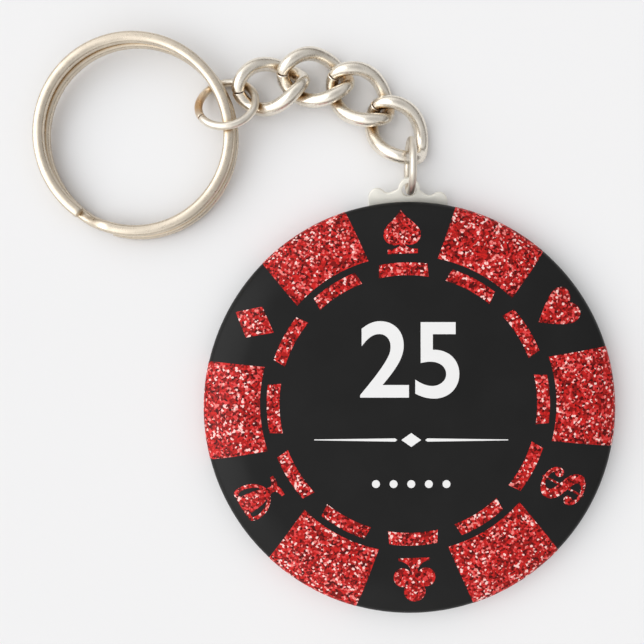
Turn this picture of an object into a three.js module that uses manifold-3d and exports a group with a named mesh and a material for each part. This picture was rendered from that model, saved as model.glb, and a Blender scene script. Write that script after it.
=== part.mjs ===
// Poker chip keychain: a domed tinplate button with a printed face, a bent hanger tab, a short curb
// chain and a split key ring, lying flat. Millimetres, +Z up. The origin is the centre of the
// button's back panel, and the surface that everything rests on is Z = 0. The chain leaves towards +Y.
import * as THREE from "three";
import { mergeVertices } from "three/addons/utils/BufferGeometryUtils.js";
import Module from "manifold-3d";

const wasm = await Module();
wasm.setup();
const rad = THREE.MathUtils.degToRad;

// Button: the outer skin is three arcs, crown, shoulder and edge, that run on into a flat curl
const buttonDiameter = 57.15;
const edgeRadius = 1.3;
const shoulderRadius = 12;
const shoulderSlope = 25;
const crownSlope = 1.5;
const curlWidth = 1.1;
const filmThickness = 0.1;
const paperThickness = 0.15;
const shellThickness = 0.35;
const layerGap = 0.05;
const backThickness = 0.35;
const backLip = 0.7;
const roundSegments = 44;

// Hanger tab: a T-shaped steel stamping that leaves under the curl and is bent up
const tabThickness = 0.6;
const tabBend = 28;
const tabBendRadius = 0.8;
const tabHeadWidth = 13;
const tabHeadLength = 2.5;
const tabStemLength = 4;
const tabStemWidth = 8;
const earSpan = 11.1;
const earRadius = 1.2;
const earReach = 0.47;
const lugRadius = 1.5;
const lugReach = 1.8;
const lugHoleDiameter = 2;
const tabClearance = 0.1;

// Round connecting rings: one through the tab, one between the chain and the key ring
const tabRingDiameter = 8;
const tabRingWire = 1.05;
const ringLinkDiameter = 9.2;
const ringLinkWire = 1.15;
const ringSeam = 0.15;

// Curb chain: oval links of round wire, twisted so that the chain lies flat
const linkLength = 11.1;
const linkWidth = 8.1;
const linkWire = 1.85;
const linkTwist = 45;
const linkSeam = 0.15;
const linkClearance = 0.15;
const restGap = 0.03;

// Split ring: two turns of flattened wire, one over the other, with a short ramp between them. The
// upper turn's cut end stands over the low end of the ramp, and the turns have slipped sideways.
const keyRingDiameter = 28.6;
const keyRingWireWidth = 1.5;
const keyRingWireHeight = 1.2;
const keyRingTurnGap = 0.35;
const keyRingRamp = 20;
const keyRingCut = -145;
const keyRingSlip = 0.5;
const keyRingSlipBearing = -64;

// How the chain lies, from the tab outwards: the heading of each link in degrees from +X, its roll and
// pitch about its own axes, its slack along the chain and its slide across it
const chainLay = [
  { name: "curb_link_4", heading: 128.6, roll: 0, pitch: -0.7, slack: 0.36, slide: -1.27 },
  { name: "curb_link_3", heading: 143.5, roll: -1.3, pitch: -4.3, slack: 0.06, slide: 0 },
  { name: "curb_link_2", heading: 173.2, roll: 0.8, pitch: -5.4, slack: 0.2, slide: 0 },
  { name: "curb_link_1", heading: 189.9, roll: 8.5, pitch: 0.2, slack: 0.9, slide: 0.9 },
];
const ringLinkBearing = 230;
const ringLinkYaw = 13.7;
const ringLinkLift = 0.1;
const keyRingBearing = 199.3;
const keyRingSlack = 0.15;
const keyRingRoll = 3;
const keyRingTilt = 2;

const ringSteps = 30;
const linkSteps = 34;
const keyRingSteps = 88;
const wireSides = 8;

const nickel = new THREE.MeshStandardMaterial({ color: 0xd8d0c0, roughness: 0.22, metalness: 1 });
const tinplate = new THREE.MeshStandardMaterial({ color: 0xc9c9c4, roughness: 0.35, metalness: 1 });
const print = new THREE.MeshStandardMaterial({ color: 0x1c1c1c, roughness: 0.5, metalness: 0 });
const film = new THREE.MeshStandardMaterial({
  color: 0xffffff,
  roughness: 0.1,
  metalness: 0,
  transparent: true,
  opacity: 0.15,
});

const keychain = new THREE.Group();

function addMesh(parent, name, geometry, material) {
  const mesh = new THREE.Mesh(geometry, material);
  mesh.name = name;
  parent.add(mesh);
  return mesh;
}

// A geometry as a solid for cutting and joining, and back
function toSolid(geometry) {
  const bare = geometry.clone();
  bare.deleteAttribute("normal");
  bare.deleteAttribute("uv");
  const merged = mergeVertices(bare, 1e-4);
  return new wasm.Manifold(
    new wasm.Mesh({
      numProp: 3,
      vertProperties: merged.attributes.position.array,
      triVerts: new Uint32Array(merged.index.array),
    }),
  );
}

function toGeometry(solid) {
  const mesh = solid.getMesh();
  const geometry = new THREE.BufferGeometry();
  geometry.setAttribute("position", new THREE.BufferAttribute(mesh.vertProperties, 3));
  geometry.setIndex(new THREE.BufferAttribute(mesh.triVerts, 1));
  geometry.computeVertexNormals();
  return geometry;
}

function arcPoints(centreX, centreY, radius, from, to, steps) {
  return Array.from({ length: steps + 1 }, (_, i) => {
    const angle = rad(from + ((to - from) * i) / steps);
    return new THREE.Vector2(centreX + radius * Math.cos(angle), centreY + radius * Math.sin(angle));
  });
}

// A profile of radius and height turned about Z
function turned(profile) {
  return new THREE.LatheGeometry(profile, roundSegments).rotateX(Math.PI / 2);
}

// Heights and radii of the button, from the back panel up
const buttonRadius = buttonDiameter / 2;
const tabBottom = backThickness + layerGap;
const tabTop = tabBottom + tabThickness;
const curlBottom = tabTop + tabClearance;
const edgeX = buttonRadius - edgeRadius;
const edgeZ = curlBottom + edgeRadius;
const shoulderX = edgeX - (shoulderRadius - edgeRadius) * Math.sin(rad(shoulderSlope));
const shoulderZ = edgeZ - (shoulderRadius - edgeRadius) * Math.cos(rad(shoulderSlope));
const crownRadius = shoulderX / Math.sin(rad(crownSlope)) + shoulderRadius;
const crownZ = shoulderZ - (crownRadius - shoulderRadius) * Math.cos(rad(crownSlope));
const curlEnd = edgeX - curlWidth;
const crownEnd = 90 - crownSlope;
const shoulderEnd = 90 - shoulderSlope;

// The button's skin at a depth below its outer surface, from the axis to the end of the curl
function skinPoints(depth) {
  return [
    ...arcPoints(0, crownZ, crownRadius - depth, 90, crownEnd, 2),
    ...arcPoints(shoulderX, shoulderZ, shoulderRadius - depth, crownEnd, shoulderEnd, 3).slice(1),
    ...arcPoints(edgeX, edgeZ, edgeRadius - depth, shoulderEnd, -90, 5).slice(1),
    new THREE.Vector2(curlEnd, curlBottom + depth),
  ];
}

function skinLayer(depth, thickness) {
  return turned([...skinPoints(depth + thickness), ...skinPoints(depth).reverse()]);
}

const paperDepth = filmThickness + layerGap;
const shellDepth = paperDepth + paperThickness + layerGap;
const curlTop = curlBottom + shellDepth + shellThickness;

// The back plate is a shallow pan whose lip sits on the curl, with a window for the tab's stem
function backPlate() {
  const wallOuter = curlEnd - layerGap;
  const wallInner = wallOuter - backThickness;
  const lipBottom = curlTop + layerGap;
  const lipTop = lipBottom + backThickness;
  const pan = turned([
    new THREE.Vector2(0, 0),
    new THREE.Vector2(wallInner, 0),
    new THREE.Vector2(wallOuter, backThickness),
    new THREE.Vector2(wallOuter, lipBottom),
    new THREE.Vector2(wallOuter + backLip, lipBottom),
    new THREE.Vector2(wallOuter + backLip, lipTop),
    new THREE.Vector2(wallInner, lipTop),
    new THREE.Vector2(wallInner, backThickness),
    new THREE.Vector2(0, backThickness),
  ]);
  const windowWidth = tabStemWidth + 2 * tabClearance;
  const windowHeight = tabThickness + layerGap + tabClearance;
  const opening = new THREE.BoxGeometry(windowWidth, 4 * backThickness, windowHeight);
  opening.translate(0, wallOuter - backThickness / 2, backThickness + windowHeight / 2);
  return toGeometry(toSolid(pan).subtract(toSolid(opening)));
}

// The tab bends up about a line that keeps it clear of the button's rim
const bendSin = Math.sin(rad(tabBend));
const bendCos = Math.cos(rad(tabBend));
const bendZ = tabTop + tabBendRadius;
const bendY =
  edgeX + (edgeRadius + tabClearance - tabBendRadius - (edgeZ - bendZ) * bendCos) / bendSin;
const lugY = buttonRadius + lugReach;
const lugZ = bendZ + (bendSin * (lugY - bendY) - tabBendRadius - tabThickness / 2) / bendCos;
const tabStart = curlEnd - backThickness - tabStemLength - tabHeadLength;

// Side view of the tab, as a strip of even thickness
function tabStrip() {
  const reach = 2 * (lugReach + lugRadius + edgeRadius);
  const flatEnd = new THREE.Vector2(bendY, 0);
  const top = arcPoints(flatEnd.x, bendZ, tabBendRadius, -90, -90 + tabBend, 4);
  const bottom = arcPoints(flatEnd.x, bendZ, tabBendRadius + tabThickness, -90, -90 + tabBend, 4);
  const along = new THREE.Vector2(bendCos, bendSin).multiplyScalar(reach);
  const strip = new THREE.Shape([
    new THREE.Vector2(tabStart, tabBottom),
    ...bottom,
    bottom.at(-1).clone().add(along),
    top.at(-1).clone().add(along),
    ...top.reverse(),
    new THREE.Vector2(tabStart, tabTop),
  ]);
  const width = 2 * Math.max(earSpan, tabHeadWidth);
  const body = new THREE.ExtrudeGeometry(strip, { depth: width, bevelEnabled: false });
  // Drawn in Y and Z, extruded along X
  body.translate(0, 0, -width / 2);
  return body.applyMatrix4(new THREE.Matrix4().set(0, 0, 1, 0, 1, 0, 0, 0, 0, 1, 0, 0, 0, 0, 0, 1));
}

// Plan view of the tab: T head, stem, two round ears and the lug
function tabPlan() {
  const earX = earSpan / 2 - earRadius;
  const earY = buttonRadius + earReach;
  const stemX = tabStemWidth / 2;
  const headX = tabHeadWidth / 2;
  const headEnd = tabStart + tabHeadLength;
  const shoulderY = bendY - edgeRadius;
  const valleyX = (earX + lugRadius) / 2;
  const valleyY = earY + 0.25 * earRadius;
  const plan = new THREE.Shape();
  plan.moveTo(-headX, tabStart);
  plan.lineTo(headX, tabStart);
  plan.lineTo(headX, headEnd);
  plan.lineTo(stemX, headEnd);
  plan.lineTo(stemX, shoulderY);
  plan.lineTo(earX + earRadius, bendY);
  plan.lineTo(earX + earRadius, earY);
  plan.absarc(earX, earY, earRadius, 0, rad(130), false);
  plan.quadraticCurveTo(valleyX, valleyY, lugRadius, lugY);
  plan.absarc(0, lugY, lugRadius, 0, Math.PI, false);
  plan.quadraticCurveTo(
    -valleyX,
    valleyY,
    -earX + earRadius * Math.cos(rad(50)),
    earY + earRadius * Math.sin(rad(50)),
  );
  plan.absarc(-earX, earY, earRadius, rad(50), Math.PI, false);
  plan.lineTo(-earX - earRadius, bendY);
  plan.lineTo(-stemX, shoulderY);
  plan.lineTo(-stemX, headEnd);
  plan.lineTo(-headX, headEnd);
  return new THREE.ExtrudeGeometry(plan, { depth: 4 * lugZ, bevelEnabled: false, curveSegments: 6 });
}

function hangerTab() {
  const drill = new THREE.CylinderGeometry(lugHoleDiameter / 2, lugHoleDiameter / 2, 4 * tabThickness, 16);
  drill.rotateX(Math.PI / 2 + rad(tabBend));
  drill.translate(0, lugY, lugZ);
  return toGeometry(toSolid(tabStrip()).intersect(toSolid(tabPlan())).subtract(toSolid(drill)));
}

// A ring of wire in its own XY plane, cut through at one seam
class OpenRing extends THREE.Curve {
  constructor(radius, seam, seamAngle) {
    super();
    this.radius = radius;
    this.seam = seam / radius;
    this.seamAngle = rad(seamAngle);
  }
  getPoint(t, target = new THREE.Vector3()) {
    const angle = this.seamAngle + this.seam / 2 + t * (2 * Math.PI - this.seam);
    return target.set(this.radius * Math.cos(angle), this.radius * Math.sin(angle), 0);
  }
}

// An oval link along X, each half turned about X so that its two ends stand square to each other
class CurbLink extends THREE.Curve {
  getPoint(t, target = new THREE.Vector3()) {
    const seam = linkSeam / linkHalfWidth;
    const angle = seam / 2 + t * (2 * Math.PI - seam);
    const x = linkHalfLength * Math.cos(angle);
    const y = linkHalfWidth * Math.sin(angle);
    const turn = (-rad(linkTwist) * x) / linkHalfLength;
    return target.set(x, y * Math.cos(turn), y * Math.sin(turn));
  }
}

// Two turns about Z: the upper turn, the ramp down, then the lower turn, each end beside the ramp
class SplitRing extends THREE.Curve {
  getPoint(t, target = new THREE.Vector3()) {
    const degrees = t * (720 - keyRingRamp);
    const ramp = THREE.MathUtils.smoothstep(degrees, 360 - keyRingRamp, 360);
    const angle = rad(keyRingCut - degrees);
    const height = keyRingPitch * (0.5 - ramp);
    return target
      .set(keyRingRadius * Math.cos(angle), keyRingRadius * Math.sin(angle), height)
      .addScaledVector(towards(keyRingSlipBearing), keyRingSlip * (ramp - 0.5));
  }
}

function wire(curve, width, height, steps, sides = wireSides) {
  const section = Array.from({ length: sides }, (_, i) => {
    const angle = (2 * Math.PI * (i + 0.5)) / sides;
    return new THREE.Vector2((height / 2) * Math.cos(angle), (width / 2) * Math.sin(angle));
  });
  const shape = new THREE.Shape(section);
  return new THREE.ExtrudeGeometry(shape, { steps, extrudePath: curve, bevelEnabled: false });
}

const linkHalfLength = (linkLength - linkWire) / 2;
const linkHalfWidth = (linkWidth - linkWire) / 2;
const keyRingRadius = (keyRingDiameter - keyRingWireWidth - keyRingSlip) / 2;
const keyRingPitch = keyRingWireHeight + keyRingTurnGap;
const keyRingStack = keyRingPitch + keyRingWireHeight;

addMesh(keychain, "back_plate", backPlate(), tinplate);
addMesh(keychain, "front_shell", skinLayer(shellDepth, shellThickness), tinplate);
addMesh(keychain, "printed_disc", skinLayer(paperDepth, paperThickness), print);
addMesh(keychain, "clear_cover", skinLayer(0, filmThickness), film);
addMesh(keychain, "hanger_tab", hangerTab(), nickel);

// A direction in the plane of the surface, and a piece set down on that surface
function towards(degrees) {
  return new THREE.Vector3(Math.cos(rad(degrees)), Math.sin(rad(degrees)), 0);
}

function setDown(group, lift) {
  group.updateMatrixWorld(true);
  group.position.z += lift - new THREE.Box3().setFromObject(group, true).min.z;
}

// A piece turned about its own X and Y and then about Z, at a place in the plane
function place(name, geometry, centre, heading, roll, pitch) {
  const group = new THREE.Group();
  group.position.copy(centre);
  group.rotation.z = rad(heading);
  const mesh = addMesh(group, name, geometry, nickel);
  mesh.rotation.set(rad(roll), rad(pitch), 0, "YXZ");
  keychain.add(group);
  return group;
}

// The tab's ring stands on the surface in the YZ plane, with its wire through the lug's hole
const tabRingRadius = (tabRingDiameter - tabRingWire) / 2;
const tabRingZ = tabRingDiameter / 2 + restGap;
const tabRingY = lugY + Math.sqrt(tabRingRadius ** 2 - (tabRingZ - lugZ) ** 2);
const tabRing = addMesh(
  keychain,
  "tab_jump_ring",
  wire(new OpenRing(tabRingRadius, ringSeam, 100), tabRingWire, tabRingWire, ringSteps),
  nickel,
);
tabRing.rotation.y = Math.PI / 2;
tabRing.position.set(0, tabRingY, tabRingZ);

// Links from the tab outwards, the near end of each inside the far end of the piece before it
const linkGeometry = wire(new CurbLink(), linkWire, linkWire, linkSteps);
const farEnd = new THREE.Vector3(0, tabRingY + tabRingRadius, 0);
let grip = (tabRingWire + linkWire) / 2;
let mean = 90;
chainLay.forEach(({ name, heading, roll, pitch, slack, slide }, i) => {
  const between = i ? (mean + heading) / 2 : mean;
  const centre = farEnd
    .clone()
    .addScaledVector(towards(between), -(grip + linkClearance + slack))
    .addScaledVector(towards(between + 90), slide)
    .addScaledVector(towards(heading), linkHalfLength);
  setDown(place(name, linkGeometry, centre, heading, roll, pitch), restGap);
  farEnd.copy(centre).addScaledVector(towards(heading), linkHalfLength);
  grip = linkWire;
  mean = heading;
});

// The ring link leans so that the key ring's two turns pass over its low side and under its high side
const ringLinkRadius = (ringLinkDiameter - ringLinkWire) / 2;
const ringLinkLean = Math.asin((keyRingStack + ringLinkWire + linkClearance / 1.5) / (2 * ringLinkRadius));
const ringLinkReach = ringLinkRadius - (ringLinkWire + linkWire) / 2 - linkClearance / 1.5;
const ringLinkCentre = farEnd.clone().addScaledVector(towards(ringLinkBearing), ringLinkReach);
const ringLink = place(
  "ring_link",
  wire(new OpenRing(ringLinkRadius, ringSeam, 200), ringLinkWire, ringLinkWire, ringSteps),
  ringLinkCentre,
  ringLinkYaw,
  -THREE.MathUtils.radToDeg(ringLinkLean),
  0,
);
setDown(ringLink, ringLinkLift);

// The key ring lies tilted up to the ring link, whose low side it passes over, and touches the surface
// on its far side
const keyRingCentre = ringLinkCentre
  .clone()
  .addScaledVector(towards(keyRingBearing), keyRingRadius + keyRingSlack);
const keyRing = place(
  "split_ring",
  wire(new SplitRing(), keyRingWireWidth, keyRingWireHeight, keyRingSteps),
  keyRingCentre,
  keyRingBearing - 180,
  keyRingRoll,
  -keyRingTilt,
);
setDown(keyRing, restGap);

// Least gap between the two turns, from points under the upper turn to points on the lower one
const coil = new SplitRing().getPoints(720 - keyRingRamp);
let leastGap = Infinity;
coil.forEach((p, i) => {
  for (let j = i + 180; j < coil.length; j++) {
    const apart = p.clone().sub(coil[j]);
    apart.z -= keyRingWireHeight;
    leastGap = Math.min(leastGap, apart.length());
  }
});
console.log("split ring, least gap between turns: " + leastGap.toFixed(3) + " mm");

export default keychain;
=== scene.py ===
"""Looks of a poker chip keychain: a domed button with a printed chip face, a hanger tab, a short
curb chain and a split key ring.

Pieces are drawn in millimetres in the CAD frame and made metres when they are added.
"""

import math

import bmesh
import bpy
from bpy.props import FloatProperty, FloatVectorProperty, PointerProperty, StringProperty
from mathutils import Euler, Matrix, Vector


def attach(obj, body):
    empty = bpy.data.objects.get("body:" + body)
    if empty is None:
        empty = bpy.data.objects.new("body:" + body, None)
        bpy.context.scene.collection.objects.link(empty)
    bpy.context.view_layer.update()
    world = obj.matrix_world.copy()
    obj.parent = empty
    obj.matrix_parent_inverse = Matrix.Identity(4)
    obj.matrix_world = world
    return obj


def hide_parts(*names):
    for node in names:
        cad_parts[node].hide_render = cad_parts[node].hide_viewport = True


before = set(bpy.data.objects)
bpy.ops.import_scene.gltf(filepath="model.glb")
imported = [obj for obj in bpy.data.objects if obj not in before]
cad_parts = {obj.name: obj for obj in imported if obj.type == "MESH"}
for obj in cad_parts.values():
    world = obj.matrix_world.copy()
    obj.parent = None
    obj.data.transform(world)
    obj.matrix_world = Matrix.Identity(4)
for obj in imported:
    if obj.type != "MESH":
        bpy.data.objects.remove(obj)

bl_info = {
    "name": "Poker Chip Keychain",
    "version": (1, 0, 0),
    "blender": (4, 5, 0),
    "location": "View3D > Sidebar > Keychain",
    "description": "Builds the visible pieces of a poker chip keychain on its CAD frame",
    "category": "Add Mesh",
}

MM = 0.001

# How near points and cuts count as one, in millimetres
CUT = 1e-5
FINE_WELD = 1e-4
WELD = 1e-3

# How the wire pieces lie: centre in millimetres and turns about X, Y and Z in degrees
PLACES = {
    "tab_jump_ring": ((0, 33.280, 4.030), (0, 90, 0)),
    "curb_link_4": ((-1.6154, 38.4095, 2.1399), (0, -0.7, 128.6)),
    "curb_link_3": ((-6.7356, 43.3454, 2.2982), (-1.3, -4.3, 143.5)),
    "curb_link_2": ((-13.0011, 45.8324, 2.4273), (0.8, -5.4, 173.2)),
    "curb_link_1": ((-19.2265, 44.7636, 2.3968), (8.5, 0.2, 189.9)),
    "ring_link": ((-25.3413, 42.1108, 2.6696), (-29.796, 0, 13.7)),
    "split_ring": ((-38.0355, 37.6653, 2.2463), (3, -2, 19.3)),
}

# The skin's lower edge over the button's back, and the marks over the skin, in millimetres
SKIN_LOW = 1.1
MARK_LIFT = 0.03
MARK_THICKNESS = 0.022

# Share of a letter's size that a capital of the built-in font takes up
CAPITAL_SHARE = 0.73

# Painted shade in the deep and in the shallow recesses, and worn plating
BROWN_PAINTED_SHADE = ((0.36, 0.24, 0.13), (0.74, 0.61, 0.45))
WARM_PAINTED_SHADE = ((0.62, 0.48, 0.34), (0.84, 0.71, 0.54))
PALE_PAINTED_SHADE = ((0.6, 0.56, 0.5), (0.94, 0.92, 0.88))
COPPER = (0.72, 0.52, 0.34)
NO_SHADE_OR_WEAR = (1, 1, 1)

# The room's light by height, and from the far right to the far left
SKY_HEIGHT = [
    (0.0, (0.92, 0.92, 0.91)),
    (0.12, (0.92, 0.92, 0.91)),
    (0.15, (0.20, 0.16, 0.11)),
    (0.23, (0.30, 0.24, 0.17)),
    (0.36, (1.00, 0.98, 0.94)),
    (0.55, (1.27, 1.27, 1.26)),
    (0.78, (1.18, 1.18, 1.17)),
    (1.0, (0.72, 0.71, 0.70)),
]
SKY_SIDE = [
    (0.0, (0.40, 0.40, 0.41)),
    (0.30, (0.56, 0.56, 0.57)),
    (0.50, (0.80, 0.80, 0.81)),
    (0.75, (1.10, 1.10, 1.11)),
    (1.0, (1.30, 1.30, 1.31)),
]


class ButtonSettings(bpy.types.PropertyGroup):
    """Sizes and colours of the button and its print."""

    diameter: FloatProperty(
        name="Diameter",
        description="Across the button's rim",
        default=0.05715,
        min=0.02,
        unit="LENGTH",
    )
    edge_radius: FloatProperty(
        name="Edge Radius",
        description="Round of the rim",
        default=0.0013,
        min=0.0005,
        unit="LENGTH",
    )
    shoulder_radius: FloatProperty(
        name="Shoulder Radius",
        description="Round between face and rim",
        default=0.012,
        min=0.002,
        unit="LENGTH",
    )
    shoulder_slope: FloatProperty(
        name="Shoulder Slope",
        description="Fall of the shoulder where it meets the rim",
        default=math.radians(25),
        subtype="ANGLE",
    )
    crown_slope: FloatProperty(
        name="Crown Slope",
        description="Fall of the face where it meets the shoulder",
        default=math.radians(1.5),
        subtype="ANGLE",
    )
    print_shift: FloatVectorProperty(
        name="Print Shift",
        description="Place of the print's middle on the button",
        default=(-0.00038, 0.00068),
        size=2,
        subtype="TRANSLATION",
        unit="LENGTH",
    )
    print_turn: FloatProperty(
        name="Print Turn",
        description="Turn of the print on the button",
        default=math.radians(2.07),
        subtype="ANGLE",
    )
    number: StringProperty(
        name="Number",
        description="Number in the middle of the face",
        default="25",
    )
    field_colour: FloatVectorProperty(
        name="Field",
        description="Ground colour of the print",
        default=(0.0112, 0.0112, 0.0112),
        subtype="COLOR",
    )
    mark_colour: FloatVectorProperty(
        name="Marks",
        description="Main colour of the glitter marks",
        default=(0.50, 0.012, 0.010),
        subtype="COLOR",
    )
    number_colour: FloatVectorProperty(
        name="Number Colour",
        description="Colour of the number",
        default=(0.86, 0.86, 0.86),
        subtype="COLOR",
    )
    glitter_size: FloatProperty(
        name="Glitter Size",
        description="Width of one fleck of the glitter print",
        default=0.00029,
        unit="LENGTH",
    )


class ChainSettings(bpy.types.PropertyGroup):
    """Sizes and colours of the tab, rings, links and key ring."""

    metal_colour: FloatVectorProperty(
        name="Nickel",
        description="Colour of the plated wire",
        default=(0.88, 0.82, 0.72),
        subtype="COLOR",
    )
    tab_colour: FloatVectorProperty(
        name="Tab Colour",
        description="Colour of the satin hanger tab",
        default=(0.92, 0.90, 0.82),
        subtype="COLOR",
    )
    key_ring_colour: FloatVectorProperty(
        name="Key Ring Colour",
        description="Colour of the split ring's plating",
        default=(0.72, 0.637, 0.522),
        subtype="COLOR",
    )
    link_length: FloatProperty(
        name="Link Length",
        description="Length of a curb link",
        default=0.0111,
        unit="LENGTH",
    )
    link_width: FloatProperty(
        name="Link Width",
        description="Width of a curb link",
        default=0.0081,
        unit="LENGTH",
    )
    link_wire: FloatProperty(
        name="Link Wire",
        description="Thickness of a curb link's wire",
        default=0.00178,
        unit="LENGTH",
    )
    link_twist: FloatProperty(
        name="Link Twist",
        description="Turn of each half of a link",
        default=math.radians(45),
        subtype="ANGLE",
    )
    tab_ring_diameter: FloatProperty(
        name="Tab Ring",
        description="Across the ring in the tab",
        default=0.008,
        unit="LENGTH",
    )
    ring_link_diameter: FloatProperty(
        name="End Ring",
        description="Across the ring at the key ring",
        default=0.0092,
        unit="LENGTH",
    )
    key_ring_diameter: FloatProperty(
        name="Key Ring",
        description="Across the split ring",
        default=0.0286,
        unit="LENGTH",
    )


class StageSettings(bpy.types.PropertyGroup):
    """Floor, light and camera."""

    floor_colour: FloatVectorProperty(
        name="Floor",
        description="Colour of the surface under the keychain",
        default=(0.865, 0.868, 0.875),
        subtype="COLOR",
    )
    sun_strength: FloatProperty(
        name="Sun",
        description="Strength of the window's light",
        default=0.95,
        min=0,
    )
    camera_height: FloatProperty(
        name="Camera Height",
        description="Height of the camera",
        default=0.1143,
        unit="LENGTH",
    )
    lens: FloatProperty(
        name="Lens",
        description="Focal length in millimetres",
        default=44.93,
        min=10,
    )


# ---- Shapes ----


def everything(bm):
    """All that an operator can work on."""
    return bm.verts[:] + bm.edges[:] + bm.faces[:]


def arc_points(centre, radius, start, stop, steps):
    """Points on an arc, angles in degrees."""
    turns = [math.radians(start + (stop - start) * i / steps) for i in range(steps + 1)]
    return [(centre[0] + radius * math.cos(t), centre[1] + radius * math.sin(t)) for t in turns]


def bow_points(a, b, c, d, steps=10):
    """Points on a cubic curve after its first point."""
    points = []
    for i in range(1, steps + 1):
        t = i / steps
        u = 1 - t
        weights = (u**3, 3 * u * u * t, 3 * u * t * t, t**3)
        points.append(tuple(sum(w * p[k] for w, p in zip(weights, (a, b, c, d))) for k in (0, 1)))
    return points


def mirrored(half):
    """A closed outline from its right half, which runs from the middle line back to it."""
    return half + [(-x, y) for x, y in reversed(half) if abs(x) > 1e-6]


def mesh_of(data):
    """A curve or text as a mesh to work on."""
    helper = bpy.data.objects.new("helper", data)
    bpy.context.scene.collection.objects.link(helper)
    graph = bpy.context.evaluated_depsgraph_get()
    mesh = bpy.data.meshes.new_from_object(helper.evaluated_get(graph))
    bm = bmesh.new()
    bm.from_mesh(mesh)
    bpy.data.objects.remove(helper)
    bpy.data.meshes.remove(mesh)
    bpy.data.curves.remove(data)
    bmesh.ops.remove_doubles(bm, verts=bm.verts, dist=FINE_WELD)
    return bm


def outline_curve(outlines, thickness=0.0, edge=0.0):
    """A filled flat curve from closed outlines, with a thickness and rounded edges where given."""
    curve = bpy.data.curves.new("outline", "CURVE")
    curve.dimensions = "2D"
    curve.fill_mode = "BOTH"
    curve.extrude = max(thickness / 2 - edge, 0)
    curve.bevel_depth = edge
    curve.bevel_resolution = 2
    curve.offset = -edge
    for points in outlines:
        spline = curve.splines.new("POLY")
        spline.points.add(len(points) - 1)
        for point, (x, y) in zip(spline.points, points):
            point.co = (x, y, 0, 1)
        spline.use_cyclic_u = True
    return curve


def text_curve(words, height, bold):
    """Text in the built-in font, centred, its capitals of a height in millimetres."""
    text = bpy.data.curves.new("text", "FONT")
    text.body = words
    text.size = height / CAPITAL_SHARE
    text.offset = bold
    text.align_x = "CENTER"
    text.align_y = "CENTER"
    return text


def grid_cut(bm, step):
    """Cuts flat shapes on a square grid, so that they can follow a curved face."""
    for axis in (0, 1):
        low = min(v.co[axis] for v in bm.verts)
        high = max(v.co[axis] for v in bm.verts)
        for i in range(1, math.ceil((high - low) / step)):
            place, normal = Vector(), Vector()
            place[axis] = low + i * step
            normal[axis] = 1
            bmesh.ops.bisect_plane(
                bm, geom=everything(bm), dist=CUT, plane_co=place, plane_no=normal
            )


def face_up(bm):
    """Turns the faces of flat shapes upwards."""
    down = [f for f in bm.faces if f.normal.z < 0]
    bmesh.ops.reverse_faces(bm, faces=down)


def joined(meshes):
    """Several meshes in one, each with the place given for it."""
    whole = bmesh.new()
    for bm, place in meshes:
        mesh = bpy.data.meshes.new("helper")
        bm.to_mesh(mesh)
        bm.free()
        mesh.transform(place)
        whole.from_mesh(mesh)
        bpy.data.meshes.remove(mesh)
    return whole


def spun_arc(bm, start, centre, axis, angle, steps):
    """Spins a vertex into an arc of edges, whose last vertex it gives."""
    made = bmesh.ops.spin(bm, geom=[start], cent=centre, axis=axis, angle=angle, steps=steps)
    return next(g for g in made["geom_last"] if isinstance(g, bmesh.types.BMVert))


def full_turn(bm, steps):
    """Spins a profile all round Z, with its seam and its middle closed."""
    bmesh.ops.spin(
        bm,
        geom=bm.verts[:] + bm.edges[:],
        cent=(0, 0, 0),
        axis=(0, 0, 1),
        angle=2 * math.pi,
        steps=steps,
        use_merge=True,
    )
    bmesh.ops.remove_doubles(bm, verts=bm.verts, dist=WELD)


def sweep(bm, places):
    """Carries the one face of bm along a path, as a closed bar, and gives its two end faces."""
    bm.faces.ensure_lookup_table()
    face = bm.faces[0]
    first = face
    bmesh.ops.transform(bm, matrix=places[0], verts=face.verts)
    for before, after in zip(places, places[1:]):
        made = bmesh.ops.extrude_face_region(bm, geom=[face])["geom"]
        face = next(g for g in made if isinstance(g, bmesh.types.BMFace))
        bmesh.ops.transform(bm, matrix=after @ before.inverted(), verts=face.verts)
    return first, face


def round_ends(bm, ends, offset, clamped=False):
    """Rounds off the rims of a bar's end faces."""
    bmesh.ops.bevel(
        bm,
        geom=[edge for face in ends for edge in face.edges],
        offset=offset,
        segments=3,
        profile=0.5,
        affect="EDGES",
        material=-1,
        clamp_overlap=clamped,
    )


def path_places(points):
    """A place at each point of a path, its Z along it, each turned as little as it can be."""
    places = []
    side = None
    for i, point in enumerate(points):
        along = (points[min(i + 1, len(points) - 1)] - points[max(i - 1, 0)]).normalized()
        side = along.orthogonal() if side is None else side - side.dot(along) * along
        side = side.normalized()
        place = Matrix((side, along.cross(side), along)).transposed().to_4x4()
        place.translation = point
        places.append(place)
    return places


def wire(places, diameter, sides, end_round):
    """Round wire along a path of places, its cut ends rounded off."""
    bm = bmesh.new()
    bmesh.ops.create_circle(bm, cap_ends=True, segments=sides, radius=diameter / 2)
    round_ends(bm, sweep(bm, places), end_round, clamped=True)
    return bm


def add_piece(name, bm, body, material, replaced=(), smooth=40):
    """Makes a mesh in millimetres a piece in metres that moves with a body."""
    if not bm.faces:
        raise RuntimeError(f"{name} has no faces")
    bmesh.ops.recalc_face_normals(bm, faces=bm.faces)
    bmesh.ops.scale(bm, vec=(MM, MM, MM), verts=bm.verts)
    mesh = bpy.data.meshes.new(name)
    bm.to_mesh(mesh)
    bm.free()
    mesh.shade_smooth()
    mesh.set_sharp_from_angle(angle=math.radians(smooth))
    mesh.materials.append(material)
    piece = bpy.data.objects.new(name, mesh)
    bpy.context.scene.collection.objects.link(piece)
    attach(piece, body)
    if replaced:
        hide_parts(*replaced)


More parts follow.
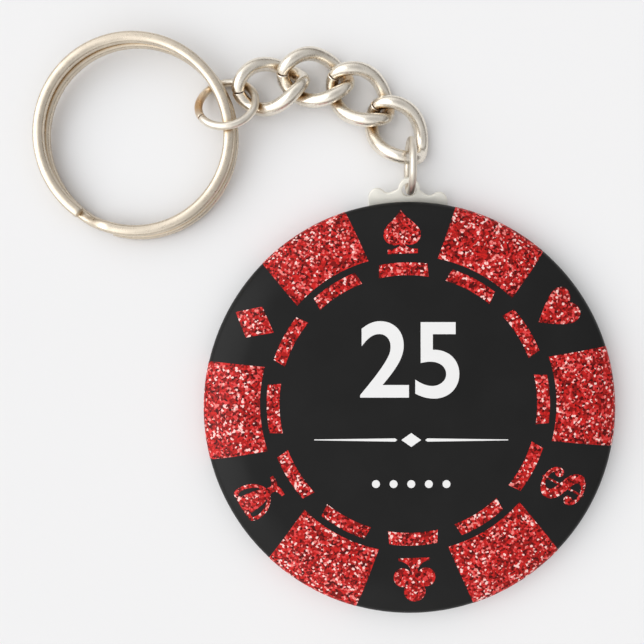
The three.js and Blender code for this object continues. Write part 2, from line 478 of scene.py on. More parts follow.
def lying(bm, name):
    """Sets a wire piece down where the chain lies."""
    centre, turns = PLACES[name]
    place = Euler([math.radians(t) for t in turns], "XYZ").to_matrix().to_4x4()
    place.translation = centre
    bmesh.ops.transform(bm, matrix=place, verts=bm.verts)


def skin_arcs(button):
    """Centre radius, centre height, radius and two angles of the crown, shoulder and edge arcs."""
    edge = button.edge_radius / MM
    shoulder = button.shoulder_radius / MM
    edge_r = button.diameter / 2 / MM - edge
    edge_z = SKIN_LOW + edge
    shoulder_r = edge_r - (shoulder - edge) * math.sin(button.shoulder_slope)
    shoulder_z = edge_z - (shoulder - edge) * math.cos(button.shoulder_slope)
    crown = shoulder_r / math.sin(button.crown_slope) + shoulder
    crown_z = shoulder_z - (crown - shoulder) * math.cos(button.crown_slope)
    top = math.pi / 2
    crown_end = top - button.crown_slope
    shoulder_end = top - button.shoulder_slope
    return [
        (0, crown_z, crown, top, crown_end),
        (shoulder_r, shoulder_z, shoulder, crown_end, shoulder_end),
        (edge_r, edge_z, edge, shoulder_end, -top),
    ]


def skin_point(arcs, reach, lift):
    """Radius and height at a distance along the skin from its middle, lifted off the skin."""
    for centre_r, centre_z, radius, start, stop in arcs:
        length = radius * (start - stop)
        if reach <= length:
            angle = start - reach / radius
            out = radius + lift
            return centre_r + out * math.cos(angle), centre_z + out * math.sin(angle)
        reach -= length
    edge_r, edge_z, edge = arcs[-1][:3]
    return edge_r - reach, edge_z - edge - lift


def drape(bm, button, shift, turned):
    """Wraps flat marks over the button's skin, moved and turned first."""
    arcs = skin_arcs(button)
    shift = Vector(shift) / MM
    turn = Matrix.Rotation(turned, 2)
    for v in bm.verts:
        flat = turn @ Vector(v.co.xy) + shift
        reach = max(flat.length, 1e-9)
        radius, height = skin_point(arcs, reach, MARK_LIFT)
        v.co = (flat.x * radius / reach, flat.y * radius / reach, height)
    bmesh.ops.solidify(bm, geom=bm.faces[:], thickness=MARK_THICKNESS)


def add_print(name, bm, button, material, shift=(0, 0), turned=0.0):
    """Makes flat marks a piece of the print on the button's skin."""
    face_up(bm)
    drape(bm, button, shift, turned)
    add_piece(name, bm, "button", material)


# ---- Materials ----


def fill_ramp(node, stops):
    """Gives a colour ramp its stops, each a position and a colour."""
    elements = node.color_ramp.elements
    while len(elements) < len(stops):
        elements.new(0.5)
    for element, (position, colour) in zip(elements, stops):
        element.position = position
        element.color = (*colour, 1)


class Nodes:
    """Short ways to make a material's nodes."""

    def __init__(self, name):
        self.material = bpy.data.materials.new(name)
        self.material.use_nodes = True
        self.tree = self.material.node_tree
        self.shader = self.tree.nodes["Principled BSDF"]
        self.place = self.add("ShaderNodeTexCoord").outputs["Object"]

    def add(self, kind, **inputs):
        """A node with values or links on its inputs."""
        node = self.tree.nodes.new(kind)
        for name, value in inputs.items():
            self.put(node.inputs[name.replace("_", " ")], value)
        return node

    def put(self, socket, value):
        """A value or a link on one socket."""
        if isinstance(value, bpy.types.NodeSocket):
            self.tree.links.new(value, socket)
        else:
            socket.default_value = value

    def set(self, **inputs):
        """Values or links on the shader's sockets."""
        for name, value in inputs.items():
            self.put(self.shader.inputs[name.replace("_", " ")], value)

    def noise(self, size, detail):
        """Noise with features of a size in millimetres."""
        scale = 1 / (size * MM)
        node = self.add("ShaderNodeTexNoise", Vector=self.place, Scale=scale, Detail=detail)
        return node.outputs["Fac"]

    def ramp(self, value, stops, steps=False):
        """A colour for a value, in steps or blended."""
        node = self.add("ShaderNodeValToRGB", Fac=value)
        node.color_ramp.interpolation = "CONSTANT" if steps else "LINEAR"
        fill_ramp(node, stops)
        return node.outputs["Color"]

    def span(self, value, low, high, start=0.3, stop=0.7):
        """A value between start and stop brought between low and high."""
        node = self.add(
            "ShaderNodeMapRange",
            Value=value,
            From_Min=start,
            From_Max=stop,
            To_Min=low,
            To_Max=high,
        )
        return node.outputs["Result"]

    def times(self, first, second):
        """Two colours multiplied."""
        node = self.add("ShaderNodeMix")
        node.data_type = "RGBA"
        node.blend_type = "MULTIPLY"
        node.inputs["Factor"].default_value = 1.0
        colours = [socket for socket in node.inputs if socket.type == "RGBA"]
        self.put(colours[0], first)
        self.put(colours[1], second)
        return next(socket for socket in node.outputs if socket.type == "RGBA")

    def bump(self, height, strength, distance):
        """A normal from heights, the distance in millimetres."""
        node = self.add("ShaderNodeBump", Height=height, Strength=strength, Distance=distance * MM)
        return node.outputs["Normal"]


def tinted(colour, factor):
    """A colour made darker or lighter."""
    return tuple(c * factor for c in colour)


def plated(name, colour, rough, hollow=1.5, shade_colours=BROWN_PAINTED_SHADE, metal=1.0, worn=None):
    """Plated metal: slow changes of tone, painted shade in the recesses, fine pits and a worn
    spot.
    """
    made = Nodes(name)
    tone = made.ramp(
        made.noise(size=2.2, detail=4),
        [(0.30, tinted(colour, 0.90)), (0.55, colour), (0.75, tinted(colour, 1.05))],
    )
    # Painted shade: ambient occlusion darkens and browns the base colour in recesses and where
    # parts lie close
    open_sky = made.add("ShaderNodeAmbientOcclusion", Distance=hollow * MM)
    open_sky.samples = 8
    deep, shallow = shade_colours
    painted_shade = made.ramp(open_sky.outputs["AO"], [(0.15, deep), (0.50, shallow), (0.80, NO_SHADE_OR_WEAR)])
    base = made.times(tone, painted_shade)
    if worn:
        away = made.add("ShaderNodeVectorMath")
        away.operation = "DISTANCE"
        made.put(away.inputs[0], made.place)
        made.put(away.inputs[1], [c * MM for c in worn])
        fade = made.span(away.outputs["Value"], 0, 1, start=0.6 * MM, stop=2.6 * MM)
        base = made.times(base, made.ramp(fade, [(0, COPPER), (1, NO_SHADE_OR_WEAR)]))
    made.set(
        Base_Color=base,
        Metallic=metal,
        Roughness=made.span(made.noise(size=0.7, detail=5), rough - 0.05, rough + 0.09),
        Normal=made.bump(made.noise(size=0.16, detail=4), strength=0.25, distance=0.012),
    )
    return made.material


def tinplate(name):
    """Rolled tinplate with faint rolling lines."""
    made = Nodes(name)
    drawn_out = made.add("ShaderNodeMapping", Vector=made.place, Scale=(1, 0.02, 1))
    lines = drawn_out.outputs["Vector"]
    streaks = made.add("ShaderNodeTexNoise", Vector=lines, Scale=5000.0, Detail=3.0).outputs["Fac"]
    made.set(
        Base_Color=made.ramp(streaks, [(0.3, (0.60, 0.60, 0.58)), (0.7, (0.72, 0.72, 0.70))]),
        Metallic=1.0,
        Roughness=made.span(streaks, 0.28, 0.42),
    )
    return made.material


def film_over(made):
    """The clear film's gloss over a print."""
    made.set(
        Roughness=0.5,
        Specular_IOR_Level=0.1,
        Coat_Weight=0.13,
        Coat_Roughness=0.2,
        Coat_IOR=1.45,
    )


def flat_print(name, size, detail, dark, light):
    """Printed ink of nearly one tone, with faint patches of a size in millimetres."""
    made = Nodes(name)
    made.set(Base_Color=made.ramp(made.noise(size, detail), [(0.3, dark), (0.7, light)]))
    film_over(made)
    return made.material


def field_print(button):
    """The print's ground."""
    field = tuple(button.field_colour)
    return flat_print("printed_field", 6, 3, tinted(field, 0.9), tinted(field, 1.12))


def plain_print(button):
    """The number's ink."""
    white = tuple(button.number_colour)
    return flat_print("printed_white", 3, 2, tinted(white, 0.98), white)


def glitter_print(button):
    """Flecks of one red, darker, lighter and nearly white, as printed glitter has."""
    made = Nodes("printed_glitter")
    red = Vector(button.mark_colour)
    scale = 1 / button.glitter_size
    flecks = made.add("ShaderNodeTexVoronoi", Vector=made.place, Scale=scale)
    pick = made.add("ShaderNodeSeparateColor", Color=flecks.outputs["Color"]).outputs["Red"]
    drift = made.span(made.noise(size=1.6, detail=2), -0.10, 0.10)
    shifted = made.add("ShaderNodeMath")
    made.put(shifted.inputs[0], pick)
    made.put(shifted.inputs[1], drift)
    colour = made.ramp(
        shifted.outputs["Value"],
        [
            (0.0, red * 0.16),
            (0.13, red * 0.44),
            (0.34, red * 0.84),
            (0.56, red * 1.18),
            (0.72, (0.74, 0.055, 0.055)),
            (0.84, (0.86, 0.22, 0.20)),
            (0.93, (1.0, 0.64, 0.60)),
        ],
        steps=True,
    )
    made.set(Base_Color=colour)
    film_over(made)
    return made.material


# ---- Outlines of the print's marks, outwards along Y, about 6 mm tall ----


def spade_mark():
    half = [(0, 2.92)]
    half += bow_points((0, 2.92), (0.5, 1.8), (2.55, 0.75), (2.55, -0.35))
    half += bow_points((2.55, -0.35), (2.55, -1.6), (1.3, -2.1), (0.32, -1.65))
    half += bow_points((0.32, -1.65), (0.4, -2.1), (0.95, -2.3), (2.05, -2.38), 6)
    half += [(2.05, -2.92), (0, -2.92)]
    return [mirrored(half)]


def heart_mark():
    half = [(0, -2.84)]
    half += bow_points((0, -2.84), (1.1, -1.45), (2.6, 0.1), (2.6, 1.45))
    half += bow_points((2.6, 1.45), (2.6, 2.35), (2.0, 2.84), (1.4, 2.84))
    half += bow_points((1.4, 2.84), (0.8, 2.84), (0.2, 2.5), (0, 1.97), 6)
    return [mirrored(half)]


def diamond_mark():
    return [mirrored([(0, 2.88), (2.3, 0), (0, -2.88)])]


def club_mark():
    half = arc_points((0, 1.5), 1.47, 90, -28.5, 12)
    half += arc_points((1.59, -0.42), 1.25, 103.7, -150, 20)
    half += bow_points(half[-1], (0.35, -1.7), (1.0, -2.5), (2.1, -2.65), 6)
    half += [(2.1, -2.98), (0, -2.98)]
    return [mirrored(half)]


def cup_mark():
    """A prize cup with two handles and a foot."""
    half = [(0, 2.95), (1.3, 2.9), (1.45, 2.72)]
    half += bow_points((1.45, 2.72), (1.7, 3.1), (2.5, 3.1), (2.5, 1.7))
    half += bow_points((2.5, 1.7), (2.5, 0.2), (1.7, -0.9), (0.5, -1.4))
    half += bow_points((0.28, -1.75), (0.45, -2.3), (0.9, -2.5), (1.5, -2.55), 6)
    half += [(1.5, -3.0), (0.6, -3.02), (0, -2.8)]
    handle = [(1.3, 2.2)]
    handle += bow_points((1.3, 2.2), (1.7, 2.6), (2.0, 2.2), (2.0, 1.5), 8)
    handle += bow_points((2.0, 1.5), (1.9, 0.4), (1.3, -0.4), (0.72, -0.85), 8)
    handle += bow_points((0.72, -0.85), (1.05, -0.2), (1.3, 1.2), (1.3, 2.2), 8)[:-1]
    return [mirrored(half), handle, [(-x, y) for x, y in handle]]


def dollar_mark():
    """An S with ball ends, its lower half the upper one turned round, and a bar between."""
    half = [(-0.25, -0.6)]
    for bow in (
        ((-1.4, -0.15), (-2.45, 0.35), (-2.45, 1.5)),
        ((-2.45, 2.4), (-1.4, 2.98), (-0.1, 2.98)),
        ((1.1, 2.98), (2.05, 2.35), (2.05, 1.45)),
        ((2.05, 1.05), (1.75, 0.78), (1.42, 0.78)),
        ((1.06, 0.78), (0.8, 1.05), (0.8, 1.4)),
        ((0.8, 1.75), (1.1, 1.85), (1.2, 1.95)),
        ((1.1, 2.3), (0.6, 2.48), (-0.1, 2.48)),
        ((-0.8, 2.48), (-1.25, 2.2), (-1.25, 1.75)),
        ((-1.3, 1.2), (-0.6, 0.95), (0.25, 0.6)),
    ):
        half += bow_points(half[-1], *bow, 6)
    half.pop()
    side = 0.13
    bars = [
        [(-side, low), (side, low), (side, high), (-side, high)]
        for low, high in ((0.76, 2.44), (3.0, 3.15))
    ]
    turned = [[(-x, -y) for x, y in points] for points in [half] + bars]
    return [half + turned[0], *bars, *turned[1:]]


def sector(inner, outer, rows, half_angle, columns):
    """A flat piece of a ring about Z, its middle on X."""
    bm = bmesh.new()
    ends = [bm.verts.new((r, 0, 0)) for r in (inner, outer)]
    edge = bm.edges.new(ends)
    bmesh.ops.subdivide_edges(bm, edges=[edge], cuts=rows - 1)
    start = Matrix.Rotation(-half_angle, 3, "Z")
    bmesh.ops.rotate(bm, cent=(0, 0, 0), matrix=start, verts=bm.verts)
    bmesh.ops.spin(
        bm,
        geom=bm.verts[:] + bm.edges[:],
        cent=(0, 0, 0),
        axis=(0, 0, 1),
        angle=2 * half_angle,
        steps=columns,
    )
    bmesh.ops.remove_doubles(bm, verts=bm.verts, dist=FINE_WELD)
    return bm


def trimmed(bm, reach, half_width, growth):
    """Cuts a piece of a ring to straight sides: half width at a reach, and its growth outwards."""
    for side in (1, -1):
        bmesh.ops.bisect_plane(
            bm,
            geom=everything(bm),
            dist=CUT,
            plane_co=(reach, half_width * side, 0),
            plane_no=(-growth, side, 0),
            clear_outer=True,
        )
    return bm


def edge_spot():
    """One of the blocks at the chip's rim, a little wider outwards, running over the edge."""
    inner, rim, outer = 20.2, 26.6, 31.9
    spread, columns, face_rows, edge_rows = math.radians(24), 40, 11, 36
    face = sector(inner, rim, face_rows, spread, columns)
    edge = sector(rim, outer, edge_rows, spread, columns)
    bm = joined([(face, Matrix()), (edge, Matrix())])
    bmesh.ops.remove_doubles(bm, verts=bm.verts, dist=WELD)
    return trimmed(bm, reach=20.6, half_width=5.9, growth=0.136)


def dash():
    """One of the short bars inside the blocks, its ends nearly square to its middle."""
    inner, outer = 17.55, 19.3
    bm = sector(inner, outer, rows=4, half_angle=math.radians(13), columns=16)
    return trimmed(bm, reach=inner, half_width=3.36, growth=-0.05)


def all_round(make, count):
    """A mark repeated round the print."""
    step = 360 // count
    turns = [Matrix.Rotation(math.radians(step * i), 4, "Z") for i in range(count)]
    return joined([(make(), turn) for turn in turns])


# ---- Operators ----


class KEYCHAIN_OT_button_back(bpy.types.Operator):
    """Build the back plate and finish the hidden front shell"""

    bl_idname = "keychain.button_back"
    bl_label = "Button Back"

    def execute(self, context):
        steel = tinplate("tinplate")
        inner, outer, sheet = 25.775, 26.125, 0.35
        window, window_half_width = 1.1, 4.1
        lip_low, lip_high, lip_width = 1.85, 2.2, 0.7
        bm = bmesh.new()
        corner = bm.verts.new((inner, 0, 0))
        last = spun_arc(bm, corner, (inner, 0, sheet), (0, -1, 0), angle=math.pi / 2, steps=5)
        rest = [
            (outer, window),
            (outer, lip_low),
            (outer + lip_width, lip_low),
            (outer + lip_width, lip_high),
            (inner, lip_high),
            (inner, window),
            (inner, sheet),
            (0, sheet),
        ]
        for r, z in rest:
            point = bm.verts.new((r, 0, z))
            bm.edges.new((last, point))
            last = point
        bm.edges.new((bm.verts.new((0, 0, 0)), corner))
        full_turn(bm, steps=160)
        # The slot for the tab, through both sides of the upright wall
        opened = []
        for face in bm.faces:
            x, y, z = face.calc_center_median()
            upright = abs(face.normal.z) < 0.1
            if upright and sheet < z < window and y > 0 and abs(x) < window_half_width:
                opened.append(face)
        bmesh.ops.delete(bm, geom=opened, context="FACES")
        bmesh.ops.bridge_loops(bm, edges=[e for e in bm.edges if e.is_boundary])
        add_piece("button_back_plate", bm, "button", steel, ["back_plate"], smooth=30)
        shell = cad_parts["front_shell"]
        shell.data.materials.clear()
        shell.data.materials.append(steel)
        return {"FINISHED"}


class KEYCHAIN_OT_button_face(bpy.types.Operator):
    """Build the printed face with its clear film, wrapped over the button's edge"""

    bl_idname = "keychain.button_face"
    bl_label = "Button Face"

    def execute(self, context):
        button = context.scene.keychain_button
        skin, curl_width = 0.3, 1.1
        arc_steps = (30, 16, 26)
        arcs = skin_arcs(button)
        bm = bmesh.new()
        last = bm.verts.new((0, 0, arcs[0][1] + arcs[0][2]))
        for (centre_r, centre_z, _, start, stop), steps in zip(arcs, arc_steps):
            last = spun_arc(bm, last, (centre_r, 0, centre_z), (0, 1, 0), start - stop, steps)
        curl = bm.verts.new(last.co - Vector((curl_width, 0, 0)))
        bm.edges.new((last, curl))
        full_turn(bm, steps=192)
        bmesh.ops.recalc_face_normals(bm, faces=bm.faces)
        if max(bm.faces, key=lambda f: f.calc_center_median().z).normal.z < 0:
            bmesh.ops.reverse_faces(bm, faces=bm.faces)
        bmesh.ops.solidify(bm, geom=bm.faces[:], thickness=skin)
        covered = ["printed_disc", "clear_cover"]
        add_piece("button_face", bm, "button", field_print(button), covered, smooth=50)
        return {"FINISHED"}


class KEYCHAIN_OT_print_marks(bpy.types.Operator):
    """Build the glitter marks: edge spots, dashes and card suits"""

    bl_idname = "keychain.print_marks"
    bl_label = "Print Marks"

    def execute(self, context):
        button = context.scene.keychain_button
        glitter = glitter_print(button)
        # Outlines, bearing in degrees, reach from the middle, stretch across and outwards
        marks = [
            (spade_mark(), 90, 23.6, 1.0, 1.06),
            (heart_mark(), 30, 23.95, 1.0, 1.06),
            (dollar_mark(), -30, 24.0, 1.0, 1.03),
            (club_mark(), -90, 24.1, 1.0, 1.04),
            (cup_mark(), -150, 23.95, 1.0, 1.04),
            (diamond_mark(), 150, 23.8, 1.04, 1.06),
        ]
        placed = []
        for outlines, bearing, reach, width, height in marks:
            bm = mesh_of(outline_curve(outlines))
            bmesh.ops.scale(bm, vec=(width, height, 1), verts=bm.verts)
            grid_cut(bm, step=0.6)
            turn = Matrix.Rotation(math.radians(bearing - 90), 4, "Z")
            placed.append((bm, turn @ Matrix.Translation((0, reach, 0))))
        for name, bm in (
            ("print_edge_spots", all_round(edge_spot, 6)),
            ("print_dashes", all_round(dash, 12)),
            ("print_suits", joined(placed)),
        ):
            add_print(name, bm, button, glitter, button.print_shift, button.print_turn)
        return {"FINISHED"}


class KEYCHAIN_OT_print_number(bpy.types.Operator):
    """Build the plain number and the ornament in the middle of the face"""

    bl_idname = "keychain.print_number"
    bl_label = "Print Number"

    def execute(self, context):
        button = context.scene.keychain_button
        number = text_curve(button.number, height=10.6, bold=0.18)
        rule = [(1.9, 0.0), (2.2, 0.22), (13.2, 0.06), (13.2, -0.06), (2.2, -0.22)]
        lozenge = [(0, 0.95), (1.35, 0), (0, -0.95), (-1.35, 0)]
        ornament = [rule, [(-x, y) for x, y in reversed(rule)], lozenge]
        dot_radius, dot_places = 0.55, (-4.8, -2.4, 0, 2.4, 4.8)
        dots = [arc_points((x, 0), dot_radius, 0, 330, steps=11) for x in dot_places]
        # Each shape and how far up or down the face it stands
        shapes = [(number, 6.1), (outline_curve(ornament), -4.2), (outline_curve(dots), -10.2)]
        placed = []
        for curve, height in shapes:
            bm = mesh_of(curve)
            grid_cut(bm, step=1.5)
            placed.append((bm, Matrix.Translation((0, height, 0))))
        add_print("print_number", joined(placed), button, plain_print(button))
        return {"FINISHED"}


class KEYCHAIN_OT_hanger_tab(bpy.types.Operator):
    """Build the hanger tab, a stamping bent up where it leaves the button"""

    bl_idname = "keychain.hanger_tab"
    bl_label = "Hanger Tab"

    def execute(self, context):
        chain = context.scene.keychain_chain
        sheet, edge_round = 0.6, 0.09
        bend_y, bend_z, middle_radius, bend = 27.425, 1.8, 1.1, math.radians(28)
        bend_cuts, cut_step = 8, 0.075
        head_low, head_high, head_half = 19.325, 21.825, 6.5
        neck_half, neck_end, foot_half = 4, 26.125, 5.55
        ear, ear_radius = (4.35, 29.045), 1.2
        lug, lug_radius, hole_radius = (0, 30.375), 1.5, 1.0
        half = [(0, head_low), (head_half, head_low), (head_half, head_high)]
        half += [(neck_half, head_high), (neck_half, neck_end), (foot_half, bend_y)]
        half += arc_points(ear, ear_radius, 0, 130, steps=16)
        side = arc_points(lug, lug_radius, 0, 90, steps=14)
        half += bow_points(half[-1], (3.143, 29.551), (2.45, 29.688), side[0])
        half += side[1:]
        # The part outside the button leans a little to one side
        lean, lean_start = Matrix.Rotation(math.radians(-3.2), 2), bend_y + 0.1
        outline = []
        for x, y in mirrored(half):
            leaned = lean @ Vector((x, y - lug[1]))
            outline.append((leaned.x, leaned.y + lug[1]) if y > lean_start else (x, y))
        circle = arc_points(lug, hole_radius, 0, 348.75, steps=31)
        hole = [(x, lug[1] + (y - lug[1]) * math.cos(bend)) for x, y in circle]
        bm = mesh_of(outline_curve([outline, hole], sheet, edge_round))
        for i in range(bend_cuts):
            bmesh.ops.bisect_plane(
                bm,
                geom=everything(bm),
                dist=CUT,
                plane_co=(0, bend_y + i * cut_step, 0),
                plane_no=(0, 1, 0),
            )
        for v in bm.verts:
            y, depth = v.co.y, v.co.z
            rise = min(max((y - bend_y) / middle_radius, 0), 1)
            angle = min(math.asin(rise), bend)
            z = bend_z - middle_radius * math.cos(angle)
            past = y - bend_y - middle_radius * math.sin(angle)
            if past > 0:
                z += past * math.tan(bend)
            v.co.y = y - depth * math.sin(angle)
            v.co.z = z + depth * math.cos(angle)
        colour = tuple(chain.tab_colour)
        # Pale painted shade on the tab where the button's rim and the jump ring lie close
        satin = plated("tab_nickel", colour, rough=0.5, hollow=0.5, shade_colours=PALE_PAINTED_SHADE, metal=0.2)
        add_piece("tab_plate", bm, "button", satin, ["hanger_tab"], smooth=35)
        return {"FINISHED"}


class KEYCHAIN_OT_round_rings(bpy.types.Operator):
    """Build the jump ring in the tab and the ring between the chain and the key ring"""

    bl_idname = "keychain.round_rings"
    bl_label = "Round Rings"

    def execute(self, context):
        chain = context.scene.keychain_chain
        steps, seam_width = 96, 0.13
        # Brown painted shade in the rings' recesses and where other parts lie close; the tab's
        # ring over a shorter reach
        satin = plated(
            "tab_jump_ring_nickel", tinted(chain.metal_colour, 0.91), rough=0.42, hollow=0.6
        )
        rubbed = plated(
            "ring_link_nickel", chain.metal_colour, rough=0.3, worn=(-29.4, 41.9, 2.6)
        )
        # Node, body, diameter, wire in millimetres, the seam's bearing in degrees and finish
        rings = [
            ("tab_jump_ring", "tab_ring", chain.tab_ring_diameter, 1.03, 100, satin),
            ("ring_link", "ring_link", chain.ring_link_diameter, 1.12, 200, rubbed),
        ]
        for node, body, diameter, thickness, seam, nickel in rings:
            radius = (diameter / MM - thickness) / 2
            gap = math.degrees(seam_width / radius)
            path = arc_points((0, 0), radius, seam + gap / 2, seam + 360 - gap / 2, steps)
            places = path_places([Vector((x, y, 0)) for x, y in path])
            bm = wire(places, thickness, sides=18, end_round=0.1)
            lying(bm, node)
            add_piece(f"{node}_wire", bm, body, nickel, [node])
        return {"FINISHED"}


class KEYCHAIN_OT_curb_links(bpy.types.Operator):
    """Build the four twisted links of the curb chain"""

    bl_idname = "keychain.curb_links"
    bl_label = "Curb Links"

    def execute(self, context):
        chain = context.scene.keychain_chain
        # Brown painted shade on the links' insides and where they cross
        nickel = plated("link_nickel", chain.metal_colour, rough=0.24)
        steps, seam_width, arm_swell = 128, 0.14, 0.10
        path_wire = 1.85
        thickness = chain.link_wire / MM
        half_length = (chain.link_length / MM - path_wire) / 2
        half_width = (chain.link_width / MM - path_wire) / 2
        gap = seam_width / half_width
        path = []
        for i in range(steps + 1):
            angle = gap / 2 + (2 * math.pi - gap) * i / steps
            x = half_length * math.cos(angle)
            y = half_width * math.sin(angle)
            turn = -chain.link_twist * x / half_length
            path.append(Vector((x, y * math.cos(turn), y * math.sin(turn))))
        # The arms swell outwards only, so that the links' insides stay clear
        places = []
        for i, (point, place) in enumerate(zip(path, path_places(path))):
            swell = arm_swell * math.sin(2 * math.pi * i / steps) ** 2
            out = Vector((0, point.y, point.z)).normalized()
            shift = Matrix.Translation(out * swell * thickness / 2)
            places.append(shift @ place @ Matrix.Scale(1 + swell, 4))
        for number in (4, 3, 2, 1):
            node = f"curb_link_{number}"
            bm = wire(places, thickness, sides=24, end_round=0.16)
            lying(bm, node)
            add_piece(f"{node}_wire", bm, f"link_{number}", nickel, [node])
        return {"FINISHED"}


class KEYCHAIN_OT_key_ring(bpy.types.Operator):
    """Build the split ring, two turns of flattened wire with a ramp between them"""

    bl_idname = "keychain.key_ring"
    bl_label = "Key Ring"

    def execute(self, context):
        chain = context.scene.keychain_chain
        width, height, squareness = 1.6, 1.42, 0.8
        pitch, lift = 1.46, 0.04
        cut, ramp, wire_end = -145, 20, 700
        # The lower turn lies a little to one side of the upper one
        slip_bearing, slip_length = math.radians(-64), 0.5
        slip = Vector((math.cos(slip_bearing), math.sin(slip_bearing), 0)) * slip_length
        radius = (chain.key_ring_diameter / MM - width - slip.length) / 2
        places = []
        turns = [*range(0, 360 - ramp, 2), *range(360 - ramp, 360), *range(360, wire_end + 1, 2)]
        for degrees in turns:
            share = min(max((degrees - 360 + ramp) / ramp, 0), 1)
            fall = share * share * (3 - 2 * share)
            slope = -pitch * 6 * share * (1 - share) / (math.radians(ramp) * radius)
            angle = math.radians(cut - degrees)
            out = Vector((math.cos(angle), math.sin(angle), 0))
            along = Vector((math.sin(angle), -math.cos(angle), slope)).normalized()
            place = Matrix((out, along.cross(out), along)).transposed().to_4x4()
            level = Vector((0, 0, lift + pitch * (0.5 - fall)))
            place.translation = out * radius + level + slip * (fall - 0.5)
            places.append(place)
        bm = bmesh.new()
        bmesh.ops.create_circle(bm, cap_ends=True, segments=32, radius=1)
        for v in bm.verts:
            v.co.x = math.copysign(abs(v.co.x) ** squareness, v.co.x) * width / 2
            v.co.y = math.copysign(abs(v.co.y) ** squareness, v.co.y) * height / 2
        round_ends(bm, sweep(bm, places), offset=0.12)
        lying(bm, "split_ring")
        colour = tuple(chain.key_ring_colour)
        # Warm painted shade between the two turns and where the ring link lies close, over a long
        # reach
        nickel = plated("key_ring_nickel", colour, rough=0.28, hollow=2.2, shade_colours=WARM_PAINTED_SHADE)
        add_piece("split_ring_wire", bm, "key_ring", nickel, ["split_ring"])
        return {"FINISHED"}


def sky_ramp(tree, value, stops):
    """Light for a value, on the world's nodes."""
    ramp = tree.nodes.new("ShaderNodeValToRGB")
    tree.links.new(value, ramp.inputs["Fac"])
    fill_ramp(ramp, stops)
    return ramp.outputs["Color"]


def room_light():
    """A world that changes by height and from side to side, as a room with a window does."""
    to_window, middle = (-0.496, -0.06, 0), 0.5
    world = bpy.data.worlds.new("room")
    world.use_nodes = True
    tree = world.node_tree
    place = tree.nodes.new("ShaderNodeTexCoord").outputs["Generated"]
    height = tree.nodes.new("ShaderNodeSeparateXYZ")
    tree.links.new(place, height.inputs["Vector"])
    side = tree.nodes.new("ShaderNodeVectorMath")
    side.operation = "DOT_PRODUCT"
    side.inputs[1].default_value = to_window
    tree.links.new(place, side.inputs[0])
    across = tree.nodes.new("ShaderNodeMath")
    across.inputs[1].default_value = middle
    tree.links.new(side.outputs["Value"], across.inputs[0])
    both = tree.nodes.new("ShaderNodeVectorMath")
    both.operation = "MULTIPLY"
    tree.links.new(sky_ramp(tree, height.outputs["Z"], SKY_HEIGHT), both.inputs[0])
    tree.links.new(sky_ramp(tree, across.outputs["Value"], SKY_SIDE), both.inputs[1])
    background = tree.nodes["Background"]
    tree.links.new(both.outputs["Vector"], background.inputs["Color"])
    background.inputs["Strength"].default_value = 1.0
    return world


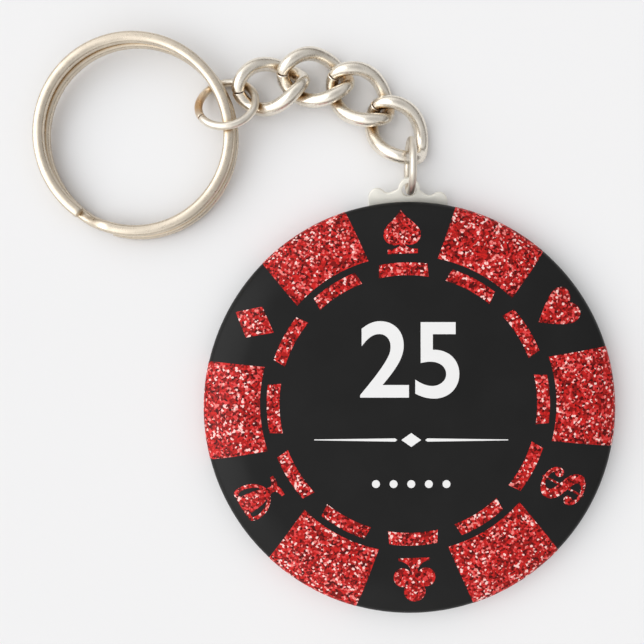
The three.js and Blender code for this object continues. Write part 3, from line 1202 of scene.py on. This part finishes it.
class KEYCHAIN_OT_stage(bpy.types.Operator):
    """Set the floor, the light and the camera"""

    bl_idname = "keychain.stage"
    bl_label = "Stage"

    def execute(self, context):
        stage = context.scene.keychain_stage
        scene = context.scene
        floor_half, floor_drop = 20.0, 0.00002
        looked_at = (-0.012137, 0.011845)
        bm = bmesh.new()
        bmesh.ops.create_grid(bm, x_segments=1, y_segments=1, size=floor_half)
        bmesh.ops.translate(bm, vec=(0, 0, -floor_drop), verts=bm.verts)
        mesh = bpy.data.meshes.new("floor")
        bm.to_mesh(mesh)
        bm.free()
        paper = Nodes("floor_paper")
        paper.set(Base_Color=(*stage.floor_colour, 1), Roughness=0.9, Specular_IOR_Level=0.1)
        mesh.materials.append(paper.material)
        floor = bpy.data.objects.new("floor", mesh)
        scene.collection.objects.link(floor)

        lamp = bpy.data.lights.new("window", "SUN")
        lamp.energy = stage.sun_strength
        lamp.angle = math.radians(60)
        lamp.color = (0.985, 0.99, 1.0)
        light = bpy.data.objects.new("window", lamp)
        towards = Vector((-1.0, -0.07, 1.0))
        light.rotation_euler = towards.to_track_quat("Z", "Y").to_euler()
        scene.collection.objects.link(light)
        scene.world = room_light()

        camera = bpy.data.cameras.new("camera")
        camera.sensor_width = 36
        camera.lens = stage.lens
        camera.clip_start = 0.01
        eye = bpy.data.objects.new("camera", camera)
        eye.location = (*looked_at, stage.camera_height)
        scene.collection.objects.link(eye)
        scene.camera = eye
        scene.view_settings.view_transform = "Standard"
        return {"FINISHED"}


OPERATORS = (
    KEYCHAIN_OT_stage,
    KEYCHAIN_OT_button_back,
    KEYCHAIN_OT_button_face,
    KEYCHAIN_OT_print_marks,
    KEYCHAIN_OT_print_number,
    KEYCHAIN_OT_hanger_tab,
    KEYCHAIN_OT_round_rings,
    KEYCHAIN_OT_curb_links,
    KEYCHAIN_OT_key_ring,
)


class KEYCHAIN_PT_sidebar(bpy.types.Panel):
    """Settings and steps of the keychain"""

    bl_idname = "KEYCHAIN_PT_sidebar"
    bl_label = "Poker Chip Keychain"
    bl_space_type = "VIEW_3D"
    bl_region_type = "UI"
    bl_category = "Keychain"

    def draw(self, context):
        scene = context.scene
        for group in (scene.keychain_button, scene.keychain_chain, scene.keychain_stage):
            box = self.layout.box()
            for name in group.__annotations__:
                box.prop(group, name)
        for operator in OPERATORS:
            self.layout.operator(operator.bl_idname)


CLASSES = (ButtonSettings, ChainSettings, StageSettings, *OPERATORS, KEYCHAIN_PT_sidebar)


def register():
    for cls in CLASSES:
        bpy.utils.register_class(cls)
    bpy.types.Scene.keychain_button = PointerProperty(type=ButtonSettings)
    bpy.types.Scene.keychain_chain = PointerProperty(type=ChainSettings)
    bpy.types.Scene.keychain_stage = PointerProperty(type=StageSettings)


def unregister():
    del bpy.types.Scene.keychain_stage
    del bpy.types.Scene.keychain_chain
    del bpy.types.Scene.keychain_button
    for cls in reversed(CLASSES):
        bpy.utils.unregister_class(cls)


def main():
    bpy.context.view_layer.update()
    register()
    bpy.ops.keychain.stage()
    bpy.ops.keychain.button_back()
    bpy.ops.keychain.button_face()
    bpy.ops.keychain.print_marks()
    bpy.ops.keychain.print_number()
    bpy.ops.keychain.hanger_tab()
    bpy.ops.keychain.round_rings()
    bpy.ops.keychain.curb_links()
    bpy.ops.keychain.key_ring()


if __name__ == "__main__":
    main()
